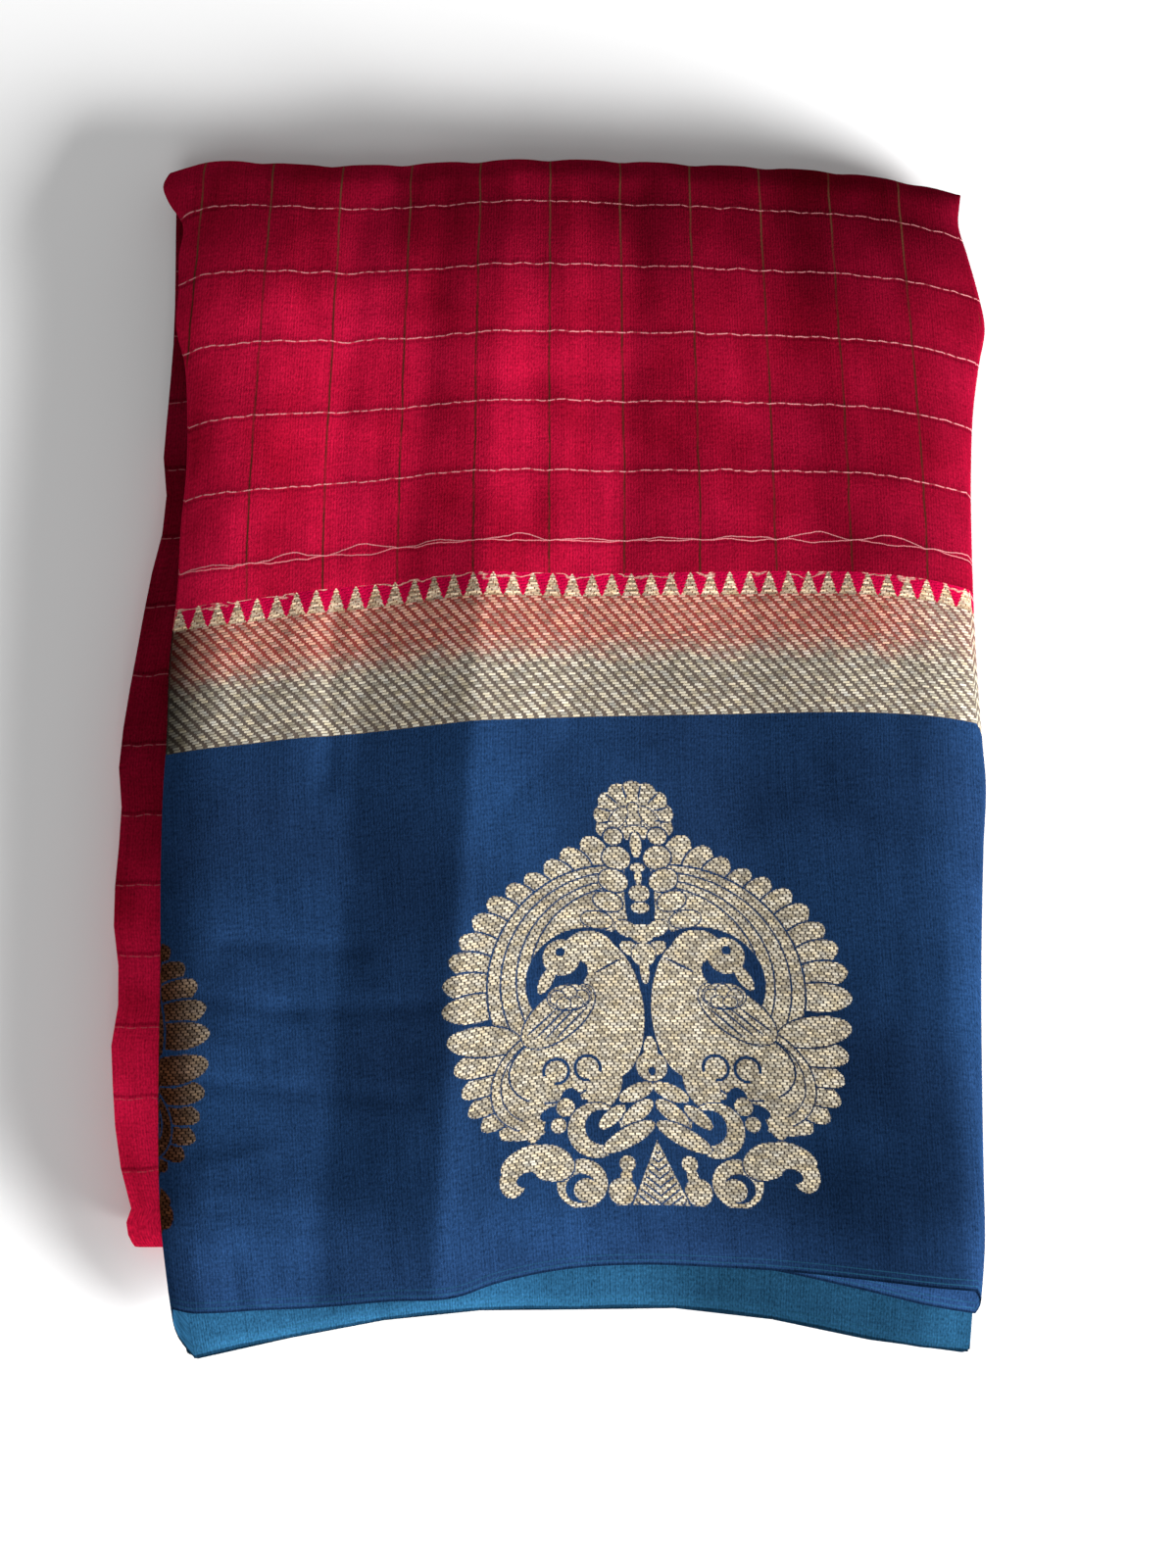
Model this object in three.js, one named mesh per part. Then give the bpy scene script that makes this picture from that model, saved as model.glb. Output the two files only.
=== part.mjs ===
// A folded sari: one woven length of cloth, pleated back and forth along its length into a packet,
// and the packet then folded in three across its width, so that the border shows on top.
// Millimetres, +Z up. The border's edge points to -Y, the first crosswise fold to +Y,
// and the packet rests on Z = 0 with the middle of its outline at the origin.
import * as THREE from 'three';

// Driving dimensions of the cloth
const SARI_WIDTH = 1060; // from selvedge to selvedge, the way that the crosswise folds take up
const CLOTH_THICKNESS = 1.05;
const LAYER_PITCH = 1.75; // one layer of cloth and the air above it
const FULL_LAYERS = 6; // layers that run from side to side in the pleated packet
const FLAP_SHARE = 0.3; // part of the width that the sari's tucked-in end covers under the top layer
const PACKET_THICKNESS = FULL_LAYERS * LAYER_PITCH + CLOTH_THICKNESS;

// Crosswise folds: the packet turns down at the back, comes forward, turns down at the front and goes back
const FOLD_INNER_RADIUS = 0.8;
const FRONT_FOLD_Y = -152; // centre of the front turn, under the overhanging border
const TOP_RUN_Z = 2 * PACKET_THICKNESS + 4 * FOLD_INNER_RADIUS; // underside of the top run
const SIDE_SINK_SHARE = 0.15; // the pressed sides are this much lower than the middle
const HALF_WIDTH = 145; // distance of the pressed sides from the middle

// How far the cloth sinks where the border hangs over the front fold, and behind the end of the bottom run;
// every layer bends along these same lines
const FRONT_SINK = [
  { y: -210, sink: 21 },
  { y: -164, sink: 2.6 },
  { y: -157, sink: 0.8 },
  { y: -150, sink: 0 },
];
const BACK_SINK = [
  { y: 150, sink: 0 },
  { y: 166, sink: 1.2 },
  { y: 182, sink: 4 },
  { y: 230, sink: 18 },
];

// Side loops, where one layer turns into the next
const LOOP_REACH = 1.8;
const WIDE_LOOP_REACH = 2.6; // the top layer's left loop, which goes round the tucked-in end
const LOOP_STEPS = 3;

// The soft ridge that runs from the back fold to the border's edge, left of the middle
const RIDGE = { frontX: -38, slope: 0.061, height: 2.6, leftReach: 13, rightReach: 24 };

// Outline of the top layer, from the border's edge to the back fold
const TOP_OUTLINE = [
  { y: -187, left: -124, right: 142.5 },
  { y: -146, left: -130, right: 143.5 },
  { y: -76, left: -132, right: 145.5 },
  { y: -20, left: -132.5, right: 146.5 },
  { y: 34, left: -130.5, right: 144.5 },
  { y: 80, left: -126, right: 143.5 },
  { y: 115, left: -125, right: 144.5 },
  { y: 150, left: -130.5, right: 150 },
  { y: 190, left: -129.5, right: 141.5 },
  { y: 208, left: -134.5, right: 143.5 },
];

// Outline of the two runs below, which the slanting back fold swings out to the left
const LOWER_OUTLINE = [
  { y: -165, left: -140, right: 126 },
  { y: -130, left: -146.5, right: 127 },
  { y: -95, left: -148.5, right: 128 },
  { y: -40, left: -148, right: 129.5 },
  { y: 0, left: -147.5, right: 131 },
  { y: 40, left: -142.5, right: 134 },
  { y: 86, left: -134, right: 138 },
  { y: 146, left: -132, right: 142 },
  { y: 208, left: -134, right: 143 },
];

// Cross lines, from the left side to the right: the three selvedges that show,
// and the outermost line of the back fold
const CROSS_LINES = [
  { across: 0.0, topEdge: -186.5, flapEdge: -174, lowEdge: -200, backFold: 212 },
  { across: 0.06, topEdge: -186.5, flapEdge: -174, lowEdge: -201, backFold: 215.5 },
  { across: 0.2, topEdge: -184, flapEdge: -172, lowEdge: -193, backFold: 215 },
  { across: 0.34, topEdge: -181.5, flapEdge: -170, lowEdge: -187.5, backFold: 216 },
  { across: 0.44, topEdge: -174.5, flapEdge: -168, lowEdge: -185.5, backFold: 217 },
  { across: 0.55, topEdge: -171, flapEdge: -167, lowEdge: -184.5, backFold: 216.5 },
  { across: 0.7, topEdge: -172, flapEdge: -170.5, lowEdge: -186.5, backFold: 214.5 },
  { across: 0.86, topEdge: -176, flapEdge: -179.5, lowEdge: -193, backFold: 211.5 },
  { across: 1.0, topEdge: -179.5, flapEdge: -186.5, lowEdge: -198, backFold: 203 },
];

// Each layer of the packet, from the top: which selvedge line it follows, how far it stands back from it,
// and how far its side folds lie inside the top layer's
const LAYERS = [
  { edge: 'topEdge', setback: 0, insetLeft: 0, insetRight: 0 },
  { edge: 'flapEdge', setback: 0, insetLeft: 0, insetRight: 0 },
  { edge: 'lowEdge', setback: 0, insetLeft: 4.5, insetRight: 2.6 },
  { edge: 'lowEdge', setback: 1.5, insetLeft: 5.5, insetRight: 2.6 },
  { edge: 'lowEdge', setback: 3.5, insetLeft: 5.5, insetRight: 3.6 },
  { edge: 'lowEdge', setback: 5, insetLeft: 2.5, insetRight: 3.6 },
  { edge: 'lowEdge', setback: 7, insetLeft: 2.5, insetRight: 3.2 },
];

// Where the mesh has its points: shares of each layer's width, and steps along each run and turn
const LAYER_SHARES = [0, 0.06, 0.16, 0.27, 0.35, 0.43, 0.56, 0.7, 0.84, 0.94, 1];
const TOP_RUN_STEPS = 5;
const MIDDLE_RUN_STEPS = 4;
const BOTTOM_RUN_STEPS = 4;
const BACK_TURN_STEPS = 6;
const FRONT_TURN_STEPS = 5;

const mix = (a, b, share) => a + (b - a) * share;
const smooth = (share) => {
  const s = Math.min(1, Math.max(0, share));
  return s * s * (3 - 2 * s);
};

// Places at even steps from one place up to, but without, another.
const between = (start, end, steps) => Array.from({ length: steps }, (_, i) => mix(start, end, i / steps));

// The value of one named column at a place between a table's rows, on a smooth curve through them.
function valueAt(table, key, name, place) {
  const last = table.length - 1;
  let row = 0;
  while (row < last - 1 && table[row + 1][key] < place) row += 1;
  const slope = (i) => {
    const before = table[Math.max(0, i - 1)];
    const after = table[Math.min(last, i + 1)];
    return (after[name] - before[name]) / (after[key] - before[key]);
  };
  const gap = table[row + 1][key] - table[row][key];
  const s = Math.min(1, Math.max(0, (place - table[row][key]) / gap));
  const held = s * s * (3 - 2 * s);
  return (
    mix(table[row][name], table[row + 1][name], held) +
    gap * (slope(row) * s * (1 - s) * (1 - s) - slope(row + 1) * s * s * (1 - s))
  );
}

// Height of a layer's middle above the packet's underside, while the packet lies with its top layer up.
const levelOf = (layer) => CLOTH_THICKNESS / 2 + (FULL_LAYERS - layer) * LAYER_PITCH;

// The pleated section of the packet: points along the middle of the cloth, each with its share across,
// its reach past the side, its level, the layers it leads between, and the way that one face looks.
function pleatedSection() {
  const points = [];

  function straight(layer, shares) {
    const faceUp = shares[1] > shares[0] ? 1 : -1;
    for (const across of shares) {
      const level = levelOf(layer);
      points.push({ across, out: 0, level, from: layer, to: layer, share: 0, face: [0, faceUp] });
    }
  }

  // A side loop is half an ellipse; the straight parts on both sides already hold its two end points.
  function loop(side, from, to, reach) {
    const middle = (levelOf(from) + levelOf(to)) / 2;
    const radius = Math.abs(levelOf(from) - levelOf(to)) / 2;
    const rising = levelOf(to) > levelOf(from) ? 1 : -1;
    const faceSign = -side * rising;
    for (let step = 1; step < LOOP_STEPS; step += 1) {
      const angle = rising * (step / LOOP_STEPS - 0.5) * Math.PI;
      points.push({
        across: (1 + side) / 2,
        out: side * reach * Math.cos(angle),
        level: middle + radius * Math.sin(angle),
        from,
        to,
        share: step / LOOP_STEPS,
        face: [faceSign * side * Math.cos(angle), faceSign * Math.sin(angle)],
      });
    }
  }

  const leftward = (shares) => [...shares].reverse();
  straight(1, LAYER_SHARES.filter((share) => share >= 1 - FLAP_SHARE));
  loop(1, 1, 0, LOOP_REACH);
  straight(0, leftward(LAYER_SHARES));
  loop(-1, 0, 2, WIDE_LOOP_REACH);
  for (let layer = 2; layer <= FULL_LAYERS; layer += 1) {
    const towardsRight = layer % 2 === 0;
    straight(layer, towardsRight ? LAYER_SHARES : leftward(LAYER_SHARES));
    if (layer < FULL_LAYERS) loop(towardsRight ? 1 : -1, layer, layer + 1, LOOP_REACH);
  }
  return points;
}

// A column of the layer table, blended where a side loop leads from one layer to the next.
const layerValue = (point, name) => mix(LAYERS[point.from][name], LAYERS[point.to][name], point.share);

function selvedgeY(point) {
  const lineOf = (layer) => {
    const { edge, setback } = LAYERS[layer];
    return valueAt(CROSS_LINES, 'across', edge, point.across) + setback;
  };
  return mix(lineOf(point.from), lineOf(point.to), point.share);
}

// The back fold's centre line, one packet thickness inside the fold's outermost line.
const backFoldY = (across) =>
  valueAt(CROSS_LINES, 'across', 'backFold', across) - PACKET_THICKNESS - FOLD_INNER_RADIUS;

// Each layer keeps its own length, so what its first selvedge leaves over comes out at the hidden second one.
function bottomEndY(frontY, backY) {
  const turns = Math.PI * (2 * FOLD_INNER_RADIUS + PACKET_THICKNESS);
  const topAndMiddle = backY - frontY + backY - FRONT_FOLD_Y;
  return FRONT_FOLD_Y + SARI_WIDTH - turns - topAndMiddle;
}

// The crosswise path of one point of the section, from selvedge to selvedge, before the cloth settles:
// the top run, the back turn, the middle run, the front turn and the bottom run.
// The runs have points on the lines where all the layers bend together.
function foldedPath(point, level) {
  const frontY = selvedgeY(point);
  const backY = backFoldY(point.across);
  const frontBends = FRONT_SINK.slice(1).map((row) => row.y);
  const backBends = BACK_SINK.slice(0, -1).map((row) => row.y);
  const [hangY, supportY] = [frontBends.at(-1), backBends[0]];
  const endY = bottomEndY(frontY, backY);
  const middleZ = TOP_RUN_Z - 2 * FOLD_INNER_RADIUS - level;
  const run = (name, z, places) => places.map((y) => ({ name, y, z }));
  const turn = (name, steps, y, z, radius) =>
    between(0.5, -0.5, steps).map((share) => ({
      name,
      y: y + radius * Math.cos(share * Math.PI),
      z: z + Math.abs(radius) * Math.sin(share * Math.PI),
    }));

  const backRadius = FOLD_INNER_RADIUS + level;
  const frontRadius = FOLD_INNER_RADIUS + PACKET_THICKNESS - level;
  const topLines = [...between(hangY, supportY, TOP_RUN_STEPS).slice(1), ...backBends];
  const middleLines = [...backBends.slice(1).reverse(), ...between(supportY, FRONT_FOLD_Y, MIDDLE_RUN_STEPS)];
  return [
    ...run('top', TOP_RUN_Z + level, [frontY, ...frontBends, ...topLines]),
    ...turn('back', BACK_TURN_STEPS, backY, TOP_RUN_Z - FOLD_INNER_RADIUS, backRadius),
    ...run('middle', middleZ, [backY, ...middleLines]),
    ...turn('front', FRONT_TURN_STEPS, FRONT_FOLD_Y, middleZ - frontRadius, -frontRadius),
    ...run('bottom', level, [...between(FRONT_FOLD_Y, endY, BOTTOM_RUN_STEPS), endY]),
  ];
}

// How far a table sinks the cloth at a place, in straight steps between its bend lines.
function sinkAt(table, y) {
  const next = table.findIndex((row) => row.y >= y);
  if (next < 0) return table.at(-1).sink;
  if (next === 0) return table[0].sink;
  const [low, high] = [table[next - 1], table[next]];
  return mix(low.sink, high.sink, (y - low.y) / (high.y - low.y));
}

// The ridge's height at a place on the top layer, steeper on its left side.
function ridgeHeight(x, y) {
  const crestX = RIDGE.frontX + RIDGE.slope * (y - TOP_OUTLINE[0].y);
  const away = x - crestX;
  const reach = away < 0 ? RIDGE.leftReach : RIDGE.rightReach;
  return RIDGE.height / (1 + (away / reach) ** 2);
}

// Points of one face of the cloth along the whole crosswise path of one point of the section,
// after the side folds are pressed and the overhangs have settled.
function faceLine(point, faceSide) {
  const offset = (faceSide * CLOTH_THICKNESS) / 2;
  const insetLeft = layerValue(point, 'insetLeft') + WIDE_LOOP_REACH;
  const insetRight = layerValue(point, 'insetRight') + LOOP_REACH;
  const path = foldedPath(point, point.level + offset * point.face[1]);
  return path.map(({ name, y, z }) => {
    const underTop = { top: 0, back: smooth((TOP_RUN_Z - z) / PACKET_THICKNESS) }[name] ?? 1;
    const side = (edge) =>
      mix(valueAt(TOP_OUTLINE, 'y', edge, y), valueAt(LOWER_OUTLINE, 'y', edge, y), underTop);
    const x =
      mix(side('left') + insetLeft, side('right') - insetRight, point.across) +
      point.out +
      offset * point.face[0];
    const frontSink = name === 'top' ? sinkAt(FRONT_SINK, y) : 0;
    const backSink = name === 'bottom' ? 0 : sinkAt(BACK_SINK, y);
    const pressedZ = z * (1 - SIDE_SINK_SHARE * (x / HALF_WIDTH) ** 4);
    const lift = ridgeHeight(x, y) * smooth((z - TOP_RUN_Z) / PACKET_THICKNESS);
    return [x, y, pressedZ - frontSink - backSink + lift];
  });
}

// The cloth as one closed surface: both faces over the grid of section points and stations, and four edges.
function clothGeometry() {
  const section = pleatedSection();
  const lines = [1, -1].flatMap((faceSide) => section.map((point) => faceLine(point, faceSide)));
  const positions = lines.flat(2);

  const faces = [];
  const quad = (a, b, c, d) => faces.push(a, b, c, a, c, d);
  const at = (face, i, j) => (face * section.length + i) * lines[0].length + j;
  const lastPoint = section.length - 1;
  const lastStation = lines[0].length - 1;
  for (let i = 0; i < lastPoint; i += 1) {
    for (let j = 0; j < lastStation; j += 1) {
      quad(at(0, i, j), at(0, i + 1, j), at(0, i + 1, j + 1), at(0, i, j + 1));
      quad(at(1, i, j), at(1, i, j + 1), at(1, i + 1, j + 1), at(1, i + 1, j));
    }
    quad(at(1, i, 0), at(1, i + 1, 0), at(0, i + 1, 0), at(0, i, 0));
    quad(at(0, i, lastStation), at(0, i + 1, lastStation), at(1, i + 1, lastStation), at(1, i, lastStation));
  }
  for (let j = 0; j < lastStation; j += 1) {
    quad(at(0, 0, j), at(0, 0, j + 1), at(1, 0, j + 1), at(1, 0, j));
    quad(at(1, lastPoint, j), at(1, lastPoint, j + 1), at(0, lastPoint, j + 1), at(0, lastPoint, j));
  }

  const geometry = new THREE.BufferGeometry();
  geometry.setAttribute('position', new THREE.Float32BufferAttribute(positions, 3));
  geometry.setIndex(faces);
  geometry.computeBoundingBox();
  const middle = geometry.boundingBox.getCenter(new THREE.Vector3());
  geometry.translate(-middle.x, -middle.y, -geometry.boundingBox.min.z);
  geometry.computeVertexNormals();
  return geometry;
}

const crimsonCloth = new THREE.MeshStandardMaterial({
  name: 'crimson silk cotton',
  color: 0xa30a35,
  roughness: 0.62,
  metalness: 0,
});

const sariCloth = new THREE.Mesh(clothGeometry(), crimsonCloth);
sariCloth.name = 'sari_cloth';

const foldedSari = new THREE.Group();
foldedSari.name = 'folded_sari';
foldedSari.add(sariCloth);

export default foldedSari;
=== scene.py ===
import bpy
import numpy as np

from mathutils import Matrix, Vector


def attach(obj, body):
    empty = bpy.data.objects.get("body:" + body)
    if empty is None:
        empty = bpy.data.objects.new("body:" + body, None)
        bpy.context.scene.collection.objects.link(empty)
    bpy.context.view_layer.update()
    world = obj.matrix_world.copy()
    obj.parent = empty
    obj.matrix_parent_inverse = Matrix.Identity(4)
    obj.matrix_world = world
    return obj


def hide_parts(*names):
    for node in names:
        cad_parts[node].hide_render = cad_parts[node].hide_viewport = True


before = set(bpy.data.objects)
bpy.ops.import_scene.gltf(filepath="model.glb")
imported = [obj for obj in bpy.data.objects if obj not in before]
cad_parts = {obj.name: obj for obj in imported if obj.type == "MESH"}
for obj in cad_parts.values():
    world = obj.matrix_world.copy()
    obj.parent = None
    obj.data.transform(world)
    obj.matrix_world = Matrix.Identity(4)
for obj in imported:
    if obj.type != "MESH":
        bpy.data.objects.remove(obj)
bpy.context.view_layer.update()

# The sari: one woven length of silk and cotton, crimson with a blue border and a band of metallic thread.
# It is pleated along its length into twenty layers and a tucked-in end, and that packet is folded in three,
# so the border hangs past the front fold and the back fold slants. Lengths are in millimetres until the mesh.
SHEET = 0.32
LAYERS = 20
PACKET = 11.55
PITCH = (PACKET - SHEET) / LAYERS
TURN = 0.8
RUN_Z = 2 * PACKET + 4 * TURN
FRONT_FOLD = -152.0
WIDTH = 1060.0
BORDER, TIPS, RUN = 186.0, 238.0, 380.0
MIDDLE = (1.3, 8.0)

TOP_EDGES = [  # y, left, right
    (-204, -124.4, 142.2), (-200, -125.2, 142.5), (-187, -127.2, 143.2), (-168, -129.3, 144.2),
    (-146, -130.9, 144), (-115, -131.8, 144), (-76, -132, 144.4), (-32, -132.6, 146),
    (-8, -132.2, 147.2), (3, -131.6, 146.4), (34, -131, 144.7), (59, -128.8, 144), (78, -128.2, 143.9),
    (100, -126.6, 144.2), (121, -126.8, 145.4), (137, -128, 147.7), (150, -131.2, 150),
    (164, -130.8, 147.7), (177, -131.2, 144.7), (190, -130.6, 142), (199, -136, 143.2),
    (206, -138.4, 144.4), (213, -136.6, 143.6),
]
LOW_EDGES = [  # y, left, right
    (-166, -139.5, 126), (-158, -142.2, 126.3), (-150, -140.2, 126.5), (-143, -142.5, 127),
    (-134, -145.8, 127), (-122, -146.6, 127.4), (-96, -148.4, 128), (-76, -145.8, 128.6),
    (-64, -148, 129), (-41, -148.4, 129.5), (-17, -146.8, 130.4), (-6, -148, 131), (20, -145.6, 132.5),
    (37, -142.9, 134), (55, -140, 135.6), (72, -136.8, 137), (86, -133.4, 138), (103, -135, 139.4),
    (118, -134.2, 140.2), (146, -132.4, 142), (213, -134, 143),
]
CROSS = [  # share across, top selvedge, flap selvedge, low selvedge, band's lower edge, tips, back fold
    (0, -185.2, -174, -201.1, -0.2, 50, 213.6), (0.02, -186.5, -174, -200.2, 0.3, 50.6, 216),
    (0.05, -186.6, -174, -198, 1.2, 51.4, 217.2), (0.1, -185.8, -173, -195.6, 2.6, 52.8, 217),
    (0.17, -185, -172, -192.3, 4.8, 55.6, 215.4), (0.27, -183, -171, -188, 7.0, 58.4, 215.2),
    (0.36, -181.4, -170, -185.8, 9, 60.6, 216.2), (0.4, -177.6, -169, -185.2, 9.9, 61.0, 216.6),
    (0.44, -174.9, -168, -185, 10.6, 61.1, 217), (0.5, -172.2, -167, -185.2, 11.6, 61.2, 217.2),
    (0.58, -171, -167.5, -184.4, 12.2, 61.6, 216.6), (0.68, -171.8, -169.5, -185.8, 12.8, 62.0, 215.2),
    (0.76, -173.2, -173.5, -188.8, 13.2, 62.3, 214.2),
    (0.88, -176.6, -180.6, -195.2, 13.0, 61.4, 211.4), (0.95, -178.6, -184.8, -198, 12.0, 59.2, 208),
    (1, -179.4, -186.5, -199, 10.6, 56.8, 204.6),
]


def smooth(t):
    """3t^2 - 2t^3 on t held from 0 to 1."""
    t = np.clip(t, 0, 1)
    return t * t * (3 - 2 * t)


def curve(rows, column, at):
    """A cubic through the rows of a table: each row's slope is that between its two neighbours."""
    table = np.array(rows, float)
    key, value = table[:, 0], table[:, column]
    slope = np.gradient(value, key)
    at = np.clip(at, key[0], key[-1])
    i = np.clip(np.searchsorted(key, at, side="right") - 1, 0, len(key) - 2)
    gap = key[i + 1] - key[i]
    s = (at - key[i]) / gap
    return (
        value[i] + (value[i + 1] - value[i]) * s * s * (3 - 2 * s)
        + gap * (slope[i] * s * (1 - s) ** 2 - slope[i + 1] * s * s * (1 - s))
    )


def level(layer):
    """Height of a layer's middle above the packet's underside; layer 0 is the top one."""
    return SHEET / 2 + (LAYERS - layer) * PITCH


def section():
    """The pleated section, from the tucked-in end to the other end: one row a point, with its share across,
    reach past the side, level, the two layers it lies between, its share between them, its length along the
    cloth, and whether it is a main point and in the finely meshed part."""
    points = []
    wide = 270.0

    def add(across, out, height, a, b, share, length, main, fine):
        points.append((across, out, height, a, b, share, length, main, fine))

    def straight(layer, shares, start, sign, steps=1, fine=0):
        for k, (p, q) in enumerate(zip(shares, shares[1:] + [None])):
            count = steps if q is not None else 1
            for n in range(count):
                across = p if n == 0 else p + (q - p) * n / count
                length = start + sign * abs(across - shares[0]) * wide
                add(across, 0, level(layer), layer, layer, 0, length, n == 0, fine)

    def loop(side, a, b, reach, start, sign, steps, fine=0):
        mid, radius = (level(a) + level(b)) / 2, abs(level(a) - level(b)) / 2
        up = 1 if level(b) > level(a) else -1
        for n in range(1, steps):
            angle = up * (n / steps - 0.5) * np.pi
            add((1 + side) / 2, side * reach * np.cos(angle), mid + radius * np.sin(angle), a, b, n / steps,
                start + sign * 3.0 * n / steps, True, fine)

    coarse = list(np.linspace(0, 1, 9))
    medium = list(np.linspace(0, 1, 17))
    straight(1, [0.7, 0.78, 0.86, 0.93, 0.97, 1.0], 135 + 3 + 81, -1)
    loop(1, 1, 0, 1.7, 138, -1, 5, 1)
    straight(0, medium[::-1], 135, -1, 7, 1)
    loop(-1, 0, 2, 2.4, -135, -1, 7, 1)
    start = -138.0
    for layer in range(2, LAYERS + 1):
        shares = medium if layer < 4 else coarse
        rightward = layer % 2 == 0
        straight(layer, shares if rightward else shares[::-1], start, -1)
        start -= wide
        if layer < LAYERS:
            loop(1 if rightward else -1, layer, layer + 1, 1.5, start, -1, 3)
            start -= 3
    return np.array(points)


def stations():
    """Places along the cloth's width: the run they lie on, their share of it, whether they are main places,
    and whether they are finely meshed. Runs: 0 top, 1 back turn, 2 middle, 3 front turn, 4 bottom."""
    rows = []
    top = [0, 5, 10, 17, 26, 38, 54, 78, 104, 130, 158, BORDER]
    top += [212, TIPS, 262, 288, 312, 332, 348, 360, 371, RUN]
    for p, q in zip(top, top[1:]):
        count = int(np.ceil((q - p) / 2.4))
        rows += [(0, (p + (q - p) * n / count) / RUN, n == 0, 1) for n in range(count)]
    rows += [(1, n / 24, n % 3 == 0, 1) for n in range(24)]
    rows += [(2, s, 1, s == 0) for s in np.linspace(0, 1, 27)[:-1]]
    rows += [(3, s, 1, 0) for s in np.linspace(0, 1, 9)[:-1]]
    rows += [(4, s, 1, 0) for s in np.linspace(0, 1, 24)]
    return np.array(rows, float)


PLANES = [  # millimetres right of the crest of the long pressed ridge, height there
    (-130, 0.0), (-106, 0.6), (-88, 0.6), (-39, -2.2), (0, 5.0), (80, -1.5), (92, -1.6), (138, 2.6),
    (152, 3.0), (164, 2.2), (176, 0.4), (190, -1.4),
]
HINGE = [  # y, millimetres right of the crest, height there
    (-60, 7, 3.6), (-24, 9, 3.4), (6, 33, -0.6), (100, 33, -0.6),
]
CREST_X, CREST_Y, CREST_LEAN, HINGE_END = -38.0, -187.0, 0.061, 80.0
WRINKLES = [  # x0, y0, x1, y1, half width, height
    (-108, -64, -64, -67, 3, -0.75), (-126, -82, -84, -87, 3, -0.85), (-90, -87, -40, -86, 3, -0.7),
    (-122, -110, -84, -114, 3, -0.95), (-80, -114, -46, -117, 3, -0.7),
    (-124, -96, -96, -100, 2.6, 0.5), (-110, -152, -78, -159, 3, -0.7),
    (-116, -140, -92, -134, 2.8, 0.5), (-118, -168, -114, -186, 3, 0.6),
    (-106, -168, -103, -184, 2.6, -0.6), (-98, -172, -96, -186, 2.6, 0.45), (60, 70, 44, 190, 14, 0.9),
    (-98, 90, -90, 196, 10, 0.8), (-74, 70, -66, 190, 7, -0.9), (-50, 60, -36, 200, 6, -0.7),
    (2, 70, 6, 200, 6, 0.7), (24, 64, 30, 200, 7, -0.8), (92, 60, 84, 200, 10, -0.7),
    (112, -150, 118, 40, 16, -0.6), (-88, -20, -84, 50, 10, 0.6), (-75, -10, -73, 52, 3.4, -1.0),
    (20, -160, 70, -168, 4, 0.35), (70, -120, 130, -132, 5, 0.4), (85, -20, 128, -34, 5, 0.4),
    (-112, 120, -60, 112, 5, 0.4), (-20, 128, 40, 134, 5, -0.4), (50, 100, 120, 92, 6, 0.4),
    (-100, 150, -40, 160, 5, -0.4),
]


def creases(x, y):
    """Height of the top layer's folds: flat planes between pressed creases beside the long
    leaning ridge, the right one ending at a slanting hinge, and soft troughs, each a bell across a line."""
    from_crest = x - CREST_X - CREST_LEAN * (y - CREST_Y)
    offset, height = np.array(PLANES).T
    at, far, low = np.array(HINGE).T
    hinge, hinge_z = np.interp(y, at, far), np.interp(y, at, low)

    def planes(d):
        crest_z, end_z = np.interp([0, HINGE_END], offset, height)
        first = crest_z + (hinge_z - crest_z) * d / hinge
        second = hinge_z + (end_z - hinge_z) * (d - hinge) / (HINGE_END - hinge)
        hinged = np.where(d < hinge, first, second)
        return np.where((d > 0) & (d < HINGE_END), hinged, np.interp(d, offset, height))

    flatter = 1 - 0.5 * smooth((y - 50) / 40)
    rise = sum(planes(from_crest + d) for d in (-0.9, 0, 0.9)) / 3 * flatter
    for x0, y0, x1, y1, reach, height in WRINKLES:
        dx, dy = x1 - x0, y1 - y0
        t = np.clip(((x - x0) * dx + (y - y0) * dy) / (dx * dx + dy * dy), 0, 1)
        away = np.hypot(x - x0 - t * dx, y - y0 - t * dy)
        rise = rise + height * np.exp(-((away / reach) ** 2))
    return rise


CHECK_U, CHECK_V, FIRST_CHECK = 25.4, 24.3, 249.4  # the field's checks
OVERHANG_FROM, SETTLE_FROM, HALF_WIDE = -148.0, 148.0, 145.0
LEFT_ROLL, RIGHT_ROLL = (5.0, 7.0), (2.6, 6.0)  # drop at the edge, and how fast it fades
BACK_TURN, MIDDLE_RUN, FRONT_TURN = 36.0, 356.0, 20.0


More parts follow.
